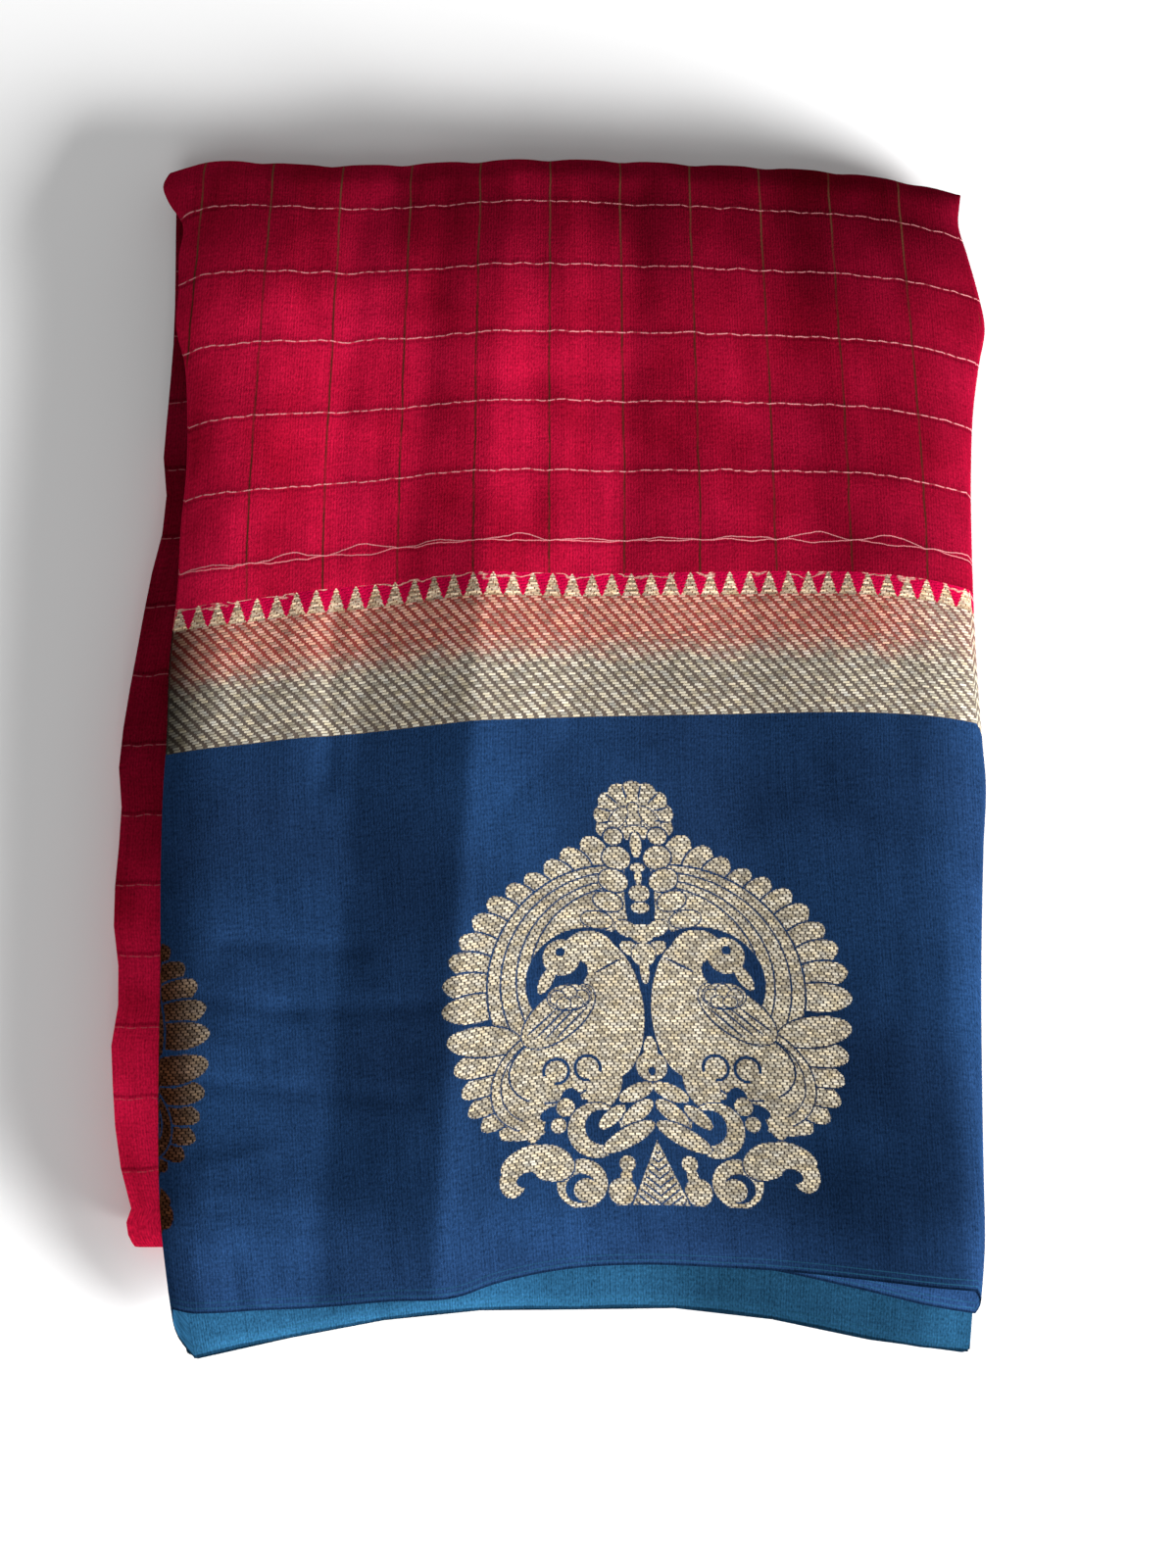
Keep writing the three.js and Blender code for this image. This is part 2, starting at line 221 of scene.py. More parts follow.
def cloth_points(sec, sta):
    """Place of every section point at every station, in millimetres, and its flat place on the cloth.
    The crosswise path is three runs and two half turns; then the cloth settles, and moves more higher up."""
    across, out, height, first, second, share, along = (sec[:, [k]] for k in range(7))
    run, part = sta[None, :, 0], sta[None, :, 1]
    deep = np.where(first < 2, 0, first - 2) * (1 - share) + np.where(second < 2, 0, second - 2) * share
    setback = 0.36 * deep + 0.9 * np.sin(2.3 * deep) * np.minimum(1, deep)

    def line(layer):
        low = curve(CROSS, 3, across) + setback
        top, flap = curve(CROSS, 1, across), curve(CROSS, 2, across)
        return np.where(layer == 0, top, np.where(layer == 1, flap, low))

    front = line(first) * (1 - share) + line(second) * share
    back = curve(CROSS, 6, across) - PACKET - TURN
    hidden = np.where(first == 0, share, np.where(second == 0, 1 - share, 1.0))
    band_foot, band_tips, up = curve(CROSS, 4, across), curve(CROSS, 5, across), part * RUN
    on_border = front + (band_foot - front) * up / BORDER
    on_band = band_foot + (band_tips - band_foot) * (up - BORDER) / (TIPS - BORDER)
    on_field = band_tips + (back - band_tips) * (up - TIPS) / (RUN - TIPS)
    guided = np.where(up < BORDER, on_border, np.where(up < TIPS, on_band, on_field))
    top_y = guided * (1 - hidden) + (front + (back - front) * part) * hidden
    angle = (0.5 - part) * np.pi
    r_back, r_front = TURN + height, TURN + PACKET - height
    mid_z = RUN_Z - 2 * TURN - height
    end = FRONT_FOLD + WIDTH - np.pi * (2 * TURN + PACKET) - (back - front) - (back - FRONT_FOLD)
    y = np.select(
        [run == 0, run == 1, run == 2, run == 3],
        [
            top_y,
            back + r_back * np.cos(angle),
            back + (FRONT_FOLD - back) * part,
            FRONT_FOLD - r_front * np.cos(angle),
        ],
        FRONT_FOLD + (end - FRONT_FOLD) * part,
    )
    z = np.select(
        [run == 0, run == 1, run == 2, run == 3],
        [
            RUN_Z + height + 0 * part,
            RUN_Z - TURN + r_back * np.sin(angle),
            mid_z + 0 * part,
            mid_z - r_front + r_front * np.sin(angle),
        ],
        height + 0 * part,
    )

    under = np.select([run == 0, run == 1], [0 * z, smooth((RUN_Z - z) / PACKET)], 1.0)
    pair_left, pair_right = np.floor((deep + 1) / 2), np.floor(deep / 2)
    inset_left = np.where(deep > 0, 4.2 + 1.3 * np.sin(1.9 * pair_left), 4.5 * hidden * (across < 0.5))
    inset_left = inset_left * (1 - under) + (0.9 + 0.9 * np.sin(1.9 * pair_left)) * under
    tucked = 1.5 * hidden * (across > 0.5) * (first > 1)
    inset_right = np.where(deep > 0, 3.0 + 1.0 * np.sin(2.6 * pair_right), tucked)
    left = curve(TOP_EDGES, 1, y) * (1 - under) + curve(LOW_EDGES, 1, y) * under + inset_left + 2.4
    right = curve(TOP_EDGES, 2, y) * (1 - under) + curve(LOW_EDGES, 2, y) * under - inset_right - 1.7
    x = left + (right - left) * across + out

    from_thread = np.abs((x + 1.2 + CHECK_U / 2) % CHECK_U - CHECK_U / 2)
    y = y - 0.9 * np.exp(-((from_thread / 5) ** 2)) * smooth((y - 195) / 15) * (run < 2)

    high = smooth((z - RUN_Z) / PACKET)
    overhang = np.clip(OVERHANG_FROM - y, 0, None)
    droop = np.where(overhang < 18, 0.4 * overhang**2 / 36, 0.4 * (overhang - 9)) * (run == 0)
    past = np.clip(y - SETTLE_FROM, 0, None)
    settle = np.where(past < 40, 0.29 * past**2 / 80, 0.29 * (past - 20)) * (run != 4)
    from_left = np.clip(x - curve(TOP_EDGES, 1, y), 0, None)
    from_right = np.clip(curve(TOP_EDGES, 2, y) - x, 0, None)
    roll = LEFT_ROLL[0] * np.exp(-from_left / LEFT_ROLL[1])
    roll = roll + RIGHT_ROLL[0] * np.exp(-from_right / RIGHT_ROLL[1])
    pressed = z * (1 - 0.15 * (x / HALF_WIDE) ** 4)
    z_out = pressed - droop - settle - roll * high + (creases(x, y) - 0.9 * hidden) * high

    flat_v = np.select(
        [run == 0, run == 1, run == 2, run == 3],
        [
            part * RUN,
            RUN + BACK_TURN * part,
            RUN + BACK_TURN + MIDDLE_RUN * part,
            RUN + BACK_TURN + MIDDLE_RUN + FRONT_TURN * part,
        ],
        WIDTH - (WIDTH - RUN - BACK_TURN - MIDDLE_RUN - FRONT_TURN) * (1 - part),
    )
    fan = 1.012 - 0.055 * smooth((y - 60) / 150)
    lean = 0.07 * np.clip(-9 - y, 0, None)
    on_top = (x - out - 0.8 - lean) / fan
    flat_u = np.where((first == 0) & (share == 0), on_top + 0 * flat_v, along + 0 * flat_v)
    return np.stack([x, y, z_out], -1), flat_u, flat_v + 0 * flat_u


SQUARE, FOOT, FIGURE_U, FIGURE_PITCH = 0.938, 19.6, 25.8, 211.5  # the woven figure's chart and places


def cloth_mesh(name):
    """The folded sheet as one surface. Main points and stations make a coarse grid; the top layer, its loops
    and the back turn are cut finer, and the coarse faces around them take the finer points in their edges."""
    sec, sta = section(), stations()
    place, flat_u, flat_v = cloth_points(sec, sta)
    main_col, fine_col = sec[:, 7] > 0, sec[:, 8] > 0
    main_row, fine_row = sta[:, 2] > 0, sta[:, 3] > 0
    fine_cols = np.flatnonzero(fine_col)
    block_cols = (fine_cols[0] - 1, fine_cols[-1] + 1)
    block_end = np.flatnonzero(fine_row)[-1]
    inside_col = np.zeros(len(sec), bool)
    inside_col[block_cols[0]: block_cols[1] + 1] = True
    inside_row = np.arange(len(sta)) <= block_end
    exists = (main_col[:, None] & main_row[None, :]) | (inside_col[:, None] & inside_row[None, :])
    index = np.full(exists.shape, -1)
    index[exists] = np.arange(exists.sum())

    faces = []
    cols, rows = np.flatnonzero(main_col), np.flatnonzero(main_row)
    for c0, c1 in zip(cols, cols[1:]):
        for r0, r1 in zip(rows, rows[1:]):
            if inside_col[c0] and inside_col[c1] and inside_row[r0] and inside_row[r1]:
                for c in range(c0, c1):
                    for r in range(r0, r1):
                        faces.append((index[c, r], index[c, r + 1], index[c + 1, r + 1], index[c + 1, r]))
            else:
                ring = [index[c0, r] for r in range(r0, r1)] + [index[c, r1] for c in range(c0, c1)]
                ring += [index[c1, r] for r in range(r1, r0, -1)] + [index[c, r0] for c in range(c1, c0, -1)]
                faces.append(tuple(i for i in ring if i >= 0))

    points = place[exists]
    points[:, :2] -= MIDDLE
    mesh = bpy.data.meshes.new(name)
    mesh.from_pydata((points * 0.001).tolist(), [], [tuple(int(i) for i in f) for f in faces])
    corner = np.empty(len(mesh.loops), np.int32)
    mesh.loops.foreach_get("vertex_index", corner)
    flat = np.stack([flat_u[exists], flat_v[exists]], -1) * 0.001
    uv = mesh.uv_layers.new(name="flat")
    uv.data.foreach_set("uv", flat[corner].astype(np.float32).ravel())
    starts = np.array([f[0] for f in faces])
    corners = np.array([f[2] for f in faces])
    centre_u, centre_v = ((flat[starts] + flat[corners]) / 2 * 1000).T
    layer = np.broadcast_to(np.maximum(sec[:, [3]], sec[:, [4]]), exists.shape)[exists][starts]
    lower = layer > 1.5
    from_figure = np.abs((centre_u - FIGURE_U + FIGURE_PITCH / 2) % FIGURE_PITCH - FIGURE_PITCH / 2)
    figured = (layer < 2.5) & (centre_u > -148) & (from_figure < 74 * SQUARE + 3) & (centre_v > FOOT - 4)
    blue = np.where(figured, 4, np.where(lower, 3, 2))
    kind = np.where(centre_v < BORDER, blue, np.where(centre_v < TIPS, 1, 0))
    mesh.polygons.foreach_set("material_index", kind.astype(np.int32))
    mesh.polygons.foreach_set("use_smooth", np.ones(len(faces), bool))
    mesh.update()
    return mesh


def put(tree, kind, *inputs, out=0, **settings):
    """A shader node with its settings and first inputs, each a value or a node's output; gives its output."""
    made = tree.nodes.new("ShaderNode" + kind)
    for name, value in settings.items():
        setattr(made, name, value)
    for socket, value in zip(made.inputs, inputs):
        if isinstance(value, bpy.types.NodeSocket):
            tree.links.new(value, socket)
        elif value is not None:
            socket.default_value = value
    return made.outputs[out]


def calc(tree, operation, *inputs):
    """One arithmetic step on numbers."""
    return put(tree, "Math", *inputs, operation=operation)


def blend(tree, mask, under, over):
    """One colour over another by a mask."""
    return put(tree, "Mix", mask, None, None, None, None, None, under, over, out=2, data_type="RGBA")


def tinted(tree, colour, by):
    """A colour times a colour."""
    inputs = (1.0, None, None, None, None, None, colour, by)
    return put(tree, "Mix", *inputs, out=2, data_type="RGBA", blend_type="MULTIPLY")


def shaded(tree, colour, value):
    """A colour times a value."""
    return tinted(tree, colour, put(tree, "CombineXYZ", value, value, value))


def span(tree, value, low, high, at_low=0.0, at_high=1.0):
    """A soft step of a value between two others."""
    return put(tree, "MapRange", value, low, high, at_low, at_high, interpolation_type="SMOOTHSTEP")


def grain(tree, flat, across, along, detail=1.0):
    """Soft noise from 0 to 1 with swells of the given size in millimetres along the length and the width."""
    place = put(tree, "VectorMath", flat, (1 / across, 1 / along, 0), operation="MULTIPLY")
    return put(tree, "TexNoise", place, None, 1.0, detail, noise_dimensions="2D")


def near_line(tree, value, pitch, first, half, soft):
    """1 on lines a pitch apart, the first at the given value, and 0 away from them."""
    away = calc(tree, "PINGPONG", calc(tree, "SUBTRACT", value, first), pitch / 2)
    return span(tree, away, half + soft, half - soft)


def group(name, ins, outs):
    """An empty shader group with named sockets; gives its tree, its inputs by name, and its output node."""
    tree = bpy.data.node_groups.new(name, "ShaderNodeTree")
    for label, kind, value in ins:
        socket = tree.interface.new_socket(label, in_out="INPUT", socket_type="NodeSocket" + kind)
        if value is not None:
            socket.default_value = value
    for label, kind in outs:
        tree.interface.new_socket(label, in_out="OUTPUT", socket_type="NodeSocket" + kind)
    return tree, tree.nodes.new("NodeGroupInput").outputs, tree.nodes.new("NodeGroupOutput").inputs


def placed(tree, made, **values):
    """A group placed in a material, with values or links on its named inputs; gives its outputs."""
    node = tree.nodes.new("ShaderNodeGroup")
    node.node_tree = made
    for name, value in values.items():
        socket = node.inputs[name.replace("_", " ")]
        if isinstance(value, bpy.types.NodeSocket):
            tree.links.new(value, socket)
        else:
            socket.default_value = value
    return node.outputs


def cloth_material(name, rough):
    """An empty matt cloth material: its tree, its shader, and the flat place on the cloth in millimetres."""
    material = bpy.data.materials.new(name)
    material.use_nodes = True
    tree = material.node_tree
    shader = tree.nodes["Principled BSDF"]
    shader.inputs["Roughness"].default_value = rough
    shader.inputs["Specular IOR Level"].default_value = 0.0
    flat = put(tree, "VectorMath", put(tree, "UVMap", uv_map="flat"), (1000, 1000, 0), operation="MULTIPLY")
    return material, tree, shader, flat


def finish_cloth(tree, shader, colour, height, depth):
    """Colour and bump on a cloth's shader; the depth is in millimetres."""
    tree.links.new(colour, shader.inputs["Base Color"])
    bump = tree.nodes.new("ShaderNodeBump")
    bump.inputs["Strength"].default_value = 1.0
    bump.inputs["Distance"].default_value = depth * 0.001
    tree.links.new(height, bump.inputs["Height"])
    tree.links.new(bump.outputs["Normal"], shader.inputs["Normal"])


# The plain weave that all of the cloth shares: fine ribs of warp across the length, finer weft, and mottling.
# Ribs sets how strongly the threads show.
weave, given, result = group(
    "plain weave",
    [("Flat", "Vector", None), ("Ribs", "Float", 0.3)],
    [("Shade", "Float"), ("Height", "Float")],
)
warp_rib = calc(weave, "PINGPONG", put(weave, "SeparateXYZ", given["Flat"]), 0.47)
streaks = grain(weave, given["Flat"], 0.9, 30, 2.0)
specks = grain(weave, given["Flat"], 0.65, 1.0, 2.0)
weft = grain(weave, given["Flat"], 6.0, 0.8, 2.0)
mottle = grain(weave, given["Flat"], 24, 30, 3.0)
warps = calc(weave, "MULTIPLY_ADD", warp_rib, 0.35, calc(weave, "MULTIPLY", streaks, 0.28))
threads = calc(weave, "MULTIPLY_ADD", specks, 0.75, calc(weave, "MULTIPLY_ADD", weft, 0.3, warps))
shade = calc(weave, "MULTIPLY_ADD", calc(weave, "SUBTRACT", threads, 0.75), given["Ribs"], 1.0)
mottled = calc(weave, "MULTIPLY_ADD", calc(weave, "SUBTRACT", mottle, 0.5), 0.6, 1.0)
weave.links.new(calc(weave, "MULTIPLY", shade, mottled), result["Shade"])
relief = calc(weave, "MULTIPLY_ADD", specks, 0.75, calc(weave, "MULTIPLY", warp_rib, 0.35))
weave.links.new(relief, result["Height"])

# The metallic thread: gold-cream weft floats lying in rows of dashes, with the ground's warp between them.
# The dashes step sideways from row to row, which draws the slanting lines of a twill.
floats, given, result = group(
    "metal floats",
    [("Flat", "Vector", None), ("Row", "Float", 0.9), ("Dash", "Float", 1.8), ("Step", "Float", 0.6),
     ("Gap", "Float", 0.3), ("Gold", "Color", (0.6, 0.48, 0.3, 1)), ("Warp", "Color", (0.05, 0.05, 0.06, 1))],
    [("Colour", "Color"), ("Height", "Float")],
)
sides = put(floats, "SeparateXYZ", given["Flat"])
along, upward = sides, sides.node.outputs[1]
row_at = calc(floats, "DIVIDE", upward, given["Row"])
row = calc(floats, "FLOOR", row_at)
shift = put(floats, "TexWhiteNoise", None, row, noise_dimensions="1D")
dash_at = calc(floats, "MULTIPLY_ADD", row, given["Step"], calc(floats, "MULTIPLY_ADD", shift, 0.5, along))
dash_at = calc(floats, "DIVIDE", dash_at, given["Dash"])
dash = calc(floats, "FLOOR", dash_at)
dash_share = calc(floats, "PINGPONG", dash_at, 0.5)
tone = put(floats, "TexWhiteNoise", put(floats, "CombineXYZ", dash, row, 0.0), noise_dimensions="2D")
half_gap = calc(floats, "MULTIPLY", given["Gap"], 0.5)
gap_end, dash_start = calc(floats, "SUBTRACT", half_gap, 0.06), calc(floats, "ADD", half_gap, 0.06)
on_dash = span(floats, dash_share, gap_end, dash_start)
on_row = span(floats, calc(floats, "PINGPONG", row_at, 0.5), 0.02, 0.24, 0.3, 1.0)
cover = calc(floats, "MULTIPLY", on_dash, on_row)
glint = blend(floats, grain(floats, given["Flat"], 4.5, 2.2, 2.0), (1.12, 1.0, 0.72, 1), (0.9, 1.0, 1.2, 1))
glint = shaded(floats, glint, calc(floats, "MULTIPLY_ADD", tone, 0.9, 0.55))
lit = tinted(floats, given["Gold"], glint)
floats.links.new(blend(floats, cover, given["Warp"], lit), result["Colour"])
floats.links.new(cover, result["Height"])

# The crimson field: plain weave checked by pale dashed threads along the length and dull thin ones across it.
# The pale thread nearest the band is two loose strands that meet at the thin threads and bow between them.
CRIMSON_DEEP, CRIMSON_LIGHT = (0.16, 0.0015, 0.008, 1), (0.40, 0.0055, 0.036, 1)
PALE_THREAD = (0.62, 0.25, 0.26, 1)
DULL_THREAD, WORN_THREAD = (0.055, 0.013, 0.007, 1), (0.115, 0.045, 0.022, 1)
field, tree, shader, flat = cloth_material("crimson field", 0.7)
woven = placed(tree, weave, Flat=flat, Ribs=1.5)
sides = put(tree, "SeparateXYZ", flat)
along, upward = sides, sides.node.outputs[1]
tint = blend(tree, grain(tree, flat, 26, 34, 2.0), CRIMSON_DEEP, CRIMSON_LIGHT)
ground = shaded(tree, tint, woven["Shade"])
drift = calc(tree, "MULTIPLY_ADD", calc(tree, "SUBTRACT", grain(tree, flat, 7, 60, 2.0), 0.5), 1.8, upward)
pale = near_line(tree, drift, CHECK_V, FIRST_CHECK, 0.16, 0.2)
stitch = calc(tree, "MULTIPLY_ADD", grain(tree, flat, 6, 9, 1.0), 5.0, along)
beads = span(tree, calc(tree, "PINGPONG", stitch, 2.0), 0.35, 0.75, 0.18, 1.0)
pale = calc(tree, "MULTIPLY", pale, calc(tree, "MULTIPLY", beads, span(tree, upward, 420, 440, 1.0, 0.25)))
pale = calc(tree, "MULTIPLY", pale, span(tree, upward, 258, 260))
bow = span(tree, calc(tree, "PINGPONG", along, CHECK_U / 2), 0.0, CHECK_U / 2)
bow = calc(tree, "MULTIPLY", bow, span(tree, grain(tree, flat, 40, 200, 1.0), 0.3, 0.7, 0.4, 1.5))
upper = near_line(tree, calc(tree, "MULTIPLY_ADD", bow, -1.9, drift), 4000, FIRST_CHECK, 0.14, 0.16)
lower = near_line(tree, calc(tree, "MULTIPLY_ADD", bow, 0.6, drift), 4000, FIRST_CHECK, 0.14, 0.16)
loose = calc(tree, "MAXIMUM", upper, calc(tree, "MULTIPLY", lower, 0.75))
sway = calc(tree, "MULTIPLY_ADD", calc(tree, "SUBTRACT", grain(tree, flat, 60, 16, 1.0), 0.5), 1.0, along)
dull = near_line(tree, sway, CHECK_U, -1.2, 0.3, 0.22)
dull = calc(tree, "MULTIPLY", dull, span(tree, grain(tree, flat, 30, 9, 2.0), 0.3, 0.6, 0.6, 1.0))
dull = calc(tree, "MULTIPLY", dull, span(tree, upward, 420, 440, 1.0, 0.0))
olive = blend(tree, span(tree, upward, 338, 372), DULL_THREAD, WORN_THREAD)
shadow = near_line(tree, drift, CHECK_V, FIRST_CHECK - 1.1, 0.5, 0.5)
ground = shaded(tree, ground, calc(tree, "MULTIPLY_ADD", shadow, -0.35, 1.0))
# Painted shade of the puckers: the ground is a little darker near each pale thread and a little lighter
# between.
painted_pillow_shade = near_line(tree, upward, CHECK_V, FIRST_CHECK, 0.5, 5.0)
ground = shaded(tree, ground, calc(tree, "MULTIPLY_ADD", painted_pillow_shade, -0.16, 1.05))
# Painted shade: the field darkens to 0.6 toward the back fold, where it slopes away from the light.
ground = shaded(tree, ground, span(tree, upward, 310, 378, 1.0, 0.6))
# Painted shade and light on the lower layers that stand out at the left: halved further back, and brightened
# up to 3.4 times toward the front.
left_side = span(tree, put(tree, "SeparateXYZ", put(tree, "TexCoord", out=3)), -0.118, -0.128)
painted_light_low_left = calc(tree, "MULTIPLY", left_side, span(tree, upward, 400, 430))
painted_shade_and_light = calc(tree, "SUBTRACT", span(tree, upward, 600, 765, 0.5, 3.4), 1.0)
ground = shaded(tree, ground, calc(tree, "MULTIPLY_ADD", painted_light_low_left, painted_shade_and_light, 1.0))
# Painted light and shade: the field is 1.3 times brighter at the left end and on the lower layers, 0.62 at
# the right.
ground = shaded(tree, ground, span(tree, along, -130, 140, 1.3, 0.62))
ground = blend(tree, dull, ground, olive)
ground = blend(tree, calc(tree, "MAXIMUM", pale, loose), ground, PALE_THREAD)
pucker = near_line(tree, drift, CHECK_V, FIRST_CHECK, 0.2, 2.2)
height = calc(tree, "MULTIPLY_ADD", pucker, 3.0, woven["Height"])
finish_cloth(tree, shader, ground, height, 0.12)

# The band: metallic twill on a crimson warp above and a slate warp below, with a row of stepped triangles on
# top of it. It is woven with the cloth, and its end that turns down at the left side has painted shade.
TEMPLE, TEMPLE_PITCH = 8.2, 6.6
SLATE_WARP, ROSE_WARP = (0.11, 0.085, 0.07, 1), (0.22, 0.04, 0.033, 1)
CREAM_GOLD, ROSE_GOLD = (0.43, 0.395, 0.32, 1), (0.43, 0.245, 0.19, 1)
TEMPLE_GOLD, TEMPLE_WARP = (0.56, 0.44, 0.31, 1), (0.16, 0.05, 0.03, 1)
band, tree, shader, flat = cloth_material("metallic band", 0.5)
woven = placed(tree, weave, Flat=flat, Ribs=0.3)
sides = put(tree, "SeparateXYZ", flat)
along, upward = sides, sides.node.outputs[1]
blur = calc(tree, "MULTIPLY_ADD", calc(tree, "SUBTRACT", grain(tree, flat, 9, 5, 2.0), 0.5), 9.0, upward)
right_end = span(tree, along, 108, 134, 1.0, 0.3)
rose = calc(tree, "MULTIPLY", span(tree, blur, 204, 218), right_end)
warp = blend(tree, rose, SLATE_WARP, ROSE_WARP)
gold = blend(tree, rose, CREAM_GOLD, ROSE_GOLD)
# Painted shade on the band's end that turns down at the left: the twill is darkened to 0.08 there, and the
# layers beyond it are drawn at 0.7.
wrong_tone = span(tree, along, -136, -150, 0.0, 0.7)
left_end_painted_shade = calc(tree, "MAXIMUM", span(tree, along, -134, -106, 0.08, 1.0), wrong_tone)
twill = placed(tree, floats, Flat=flat, Row=0.95, Dash=3.8, Step=0.82, Gap=0.42, Gold=gold, Warp=warp)
below_tip = calc(tree, "SUBTRACT", TIPS, upward)
tier = calc(tree, "DIVIDE", below_tip, TEMPLE / 5)
flare = calc(tree, "FRACT", tier)
half = calc(tree, "MULTIPLY_ADD", flare, 1.0, 0.08)
half = calc(tree, "MULTIPLY_ADD", calc(tree, "FLOOR", tier), 0.52, half)
tooth = span(tree, calc(tree, "SUBTRACT", half, calc(tree, "PINGPONG", along, TEMPLE_PITCH / 2)), -0.15, 0.15)
in_row = span(tree, upward, TIPS - TEMPLE - 0.2, TIPS - TEMPLE + 0.2)
crimson = shaded(tree, (0.38, 0.002, 0.035, 1), woven["Shade"])
cream = placed(
    tree, floats, Flat=flat, Row=0.85, Dash=3.0, Step=0.9, Gap=0.12, Gold=TEMPLE_GOLD, Warp=TEMPLE_WARP
)
cream = shaded(tree, cream["Colour"], span(tree, flare, 0.55, 0.95, 1.1, 0.45))
teeth = blend(tree, tooth, crimson, cream)
tip_line = near_line(tree, blur, 400, TIPS - 0.6, 0.3, 0.3)
teeth = blend(tree, calc(tree, "MULTIPLY", tip_line, 0.7), teeth, (0.55, 0.36, 0.28, 1))
colour = shaded(tree, blend(tree, in_row, shaded(tree, twill["Colour"], left_end_painted_shade), teeth), woven["Shade"])
finish_cloth(tree, shader, colour, twill["Height"], 0.12)


def blue_ground(tree, flat, dark, light):
    """The blue plain weave, with painted shade toward the right and two thin pale lines along the selvedge.
    """
    woven = placed(tree, weave, Flat=flat, Ribs=1.8)
    sides = put(tree, "SeparateXYZ", flat)
    upward = sides.node.outputs[1]
    ground = shaded(tree, blend(tree, grain(tree, flat, 70, 60), dark, light), woven["Shade"])
    # Painted shade: darker from 40 to 134 mm across, by a quarter in the border and by more toward the
    # selvedge.
    painted_shade_right = calc(tree, "MULTIPLY", span(tree, sides, 40, 90), span(tree, sides, 134, 120))
    painted_shade_right = calc(tree, "MULTIPLY", painted_shade_right, span(tree, upward, 150, 20, 0.25, 0.58))
    ground = shaded(tree, ground, calc(tree, "SUBTRACT", 1.0, painted_shade_right))
    outer = near_line(tree, upward, 4000, 1.6, 0.16, 0.15)
    lines = calc(tree, "ADD", outer, near_line(tree, upward, 4000, 3.4, 0.12, 0.15))
    ground = blend(tree, calc(tree, "MULTIPLY", lines, 0.4), ground, (0.012, 0.07, 0.11, 1))
    edge = span(tree, upward, 0.5, 1.1, 0.35, 1.0)
    return shaded(tree, ground, edge), woven["Height"]


# The border: deep blue plain weave with a firm selvedge, woven with the cloth. Its wrong side is paler, and
# shows where the lower layers stand out past the top one.
BLUE_DEEP, BLUE_LIGHT = (0.0075, 0.019, 0.052, 1), (0.012, 0.04, 0.11, 1)
WRONG_DEEP, WRONG_LIGHT = (0.012, 0.06, 0.125, 1), (0.022, 0.1, 0.2, 1)
border, tree, shader, flat = cloth_material("blue border", 0.7)
colour, height = blue_ground(tree, flat, BLUE_DEEP, BLUE_LIGHT)
finish_cloth(tree, shader, colour, height, 0.1)
wrong_side, tree, shader, flat = cloth_material("blue border, wrong side", 0.7)
colour, height = blue_ground(tree, flat, WRONG_DEEP, WRONG_LIGHT)
# Painted shade on the lower layers: the wrong side darkens to 0.4 from 240 to 330 mm along them and beyond.
colour = shaded(tree, colour, span(tree, put(tree, "SeparateXYZ", flat), -240, -330, 1.0, 0.4))
finish_cloth(tree, shader, colour, height, 0.1)

# The woven figure: two birds breast to breast in a wreath of feathers, in metallic weft on the blue ground.
# It is charted in small squares, across from its middle and up from its foot, and repeats along the
# border; the tables lay its ovals in turn, gold for metal thread and blue for the ground left clear.
FEATHERS = [  # tip across, tip up, root across, root up, half width
    (17.8, 132.5, 11, 120, 4.6), (25.6, 128.5, 17, 116, 4.6), (31.8, 124.4, 22, 112, 4.5),
    (39, 120.4, 29, 107, 4.5), (45.8, 117, 35, 104, 4.5), (53, 112.8, 40, 100, 4.5),
    (58.8, 107, 44, 96, 4.6), (63.9, 100.4, 48, 91, 4.6), (68.2, 93.6, 50, 86, 4.6),
    (70.9, 85, 50, 80.5, 4.8), (71.8, 75.6, 49, 74.5, 5.0),
]
LOW_FEATHERS = [  # tip across, tip up, root across, root up, half width
    (54, 27.5, 44, 36, 4.0), (60.5, 32, 46, 41, 4.2), (64.8, 38.4, 47, 46, 4.3),
    (66.8, 45.8, 46, 52, 4.5), (69, 54.6, 45, 57, 5.0), (70.8, 65.2, 45, 60.6, 5.2),
]
FINIAL = [  # lay, across, up, half wide, half high, turn in degrees, clear rim
    ("gold", 0, 141, 9.4, 9.4, 0, 0), ("gold", 0, 149.6, 3.6, 3.4, 0, 0),
    ("gold", 5, 148.6, 3.4, 3.4, 0, 0), ("gold", 9, 145.4, 3.2, 3.4, 0, 0),
    ("gold", 11, 140.6, 3.0, 3.4, 0, 0), ("gold", 10.6, 135.6, 3.0, 3.2, 0, 0),
    ("gold", 0, 139.6, 2.6, 5.4, 0, 0.55), ("gold", 5.6, 139.2, 2.4, 5.0, 38, 0.5),
    ("gold", 0, 133.6, 5.5, 2.6, 0, 0.5), ("gold", 7.8, 132.4, 3.3, 3.0, 0, 0.7),
    ("gold", 0, 129.4, 1.9, 4.8, 0, 0.8), ("blue", 2.6, 148.4, 0.4, 2.8, -14, 0),
    ("blue", 7.2, 146.4, 0.4, 2.8, -46, 0), ("blue", 9.8, 142.4, 2.8, 0.4, 14, 0),
    ("blue", 9.8, 137.8, 2.6, 0.4, -10, 0),
]
PLUMES = [
    ("gold", 10, 78, 45.4, 43.6, 0, 0.8), ("gold", 8, 79, 42.6, 40, 0, 0.7),
    ("gold", 6.4, 80, 38.6, 36.2, 0, 0.7), ("gold", 5, 81.5, 35, 32.4, 0, 0.7),
    ("blue", 20, 79.6, 22.2, 20, 0, 0), ("blue", 0, 52, 33, 32, 0, 0), ("blue", 0, 110, 5.4, 18, 0, 0),
    ("blue", 0, 92, 14, 9, 0, 0),
]
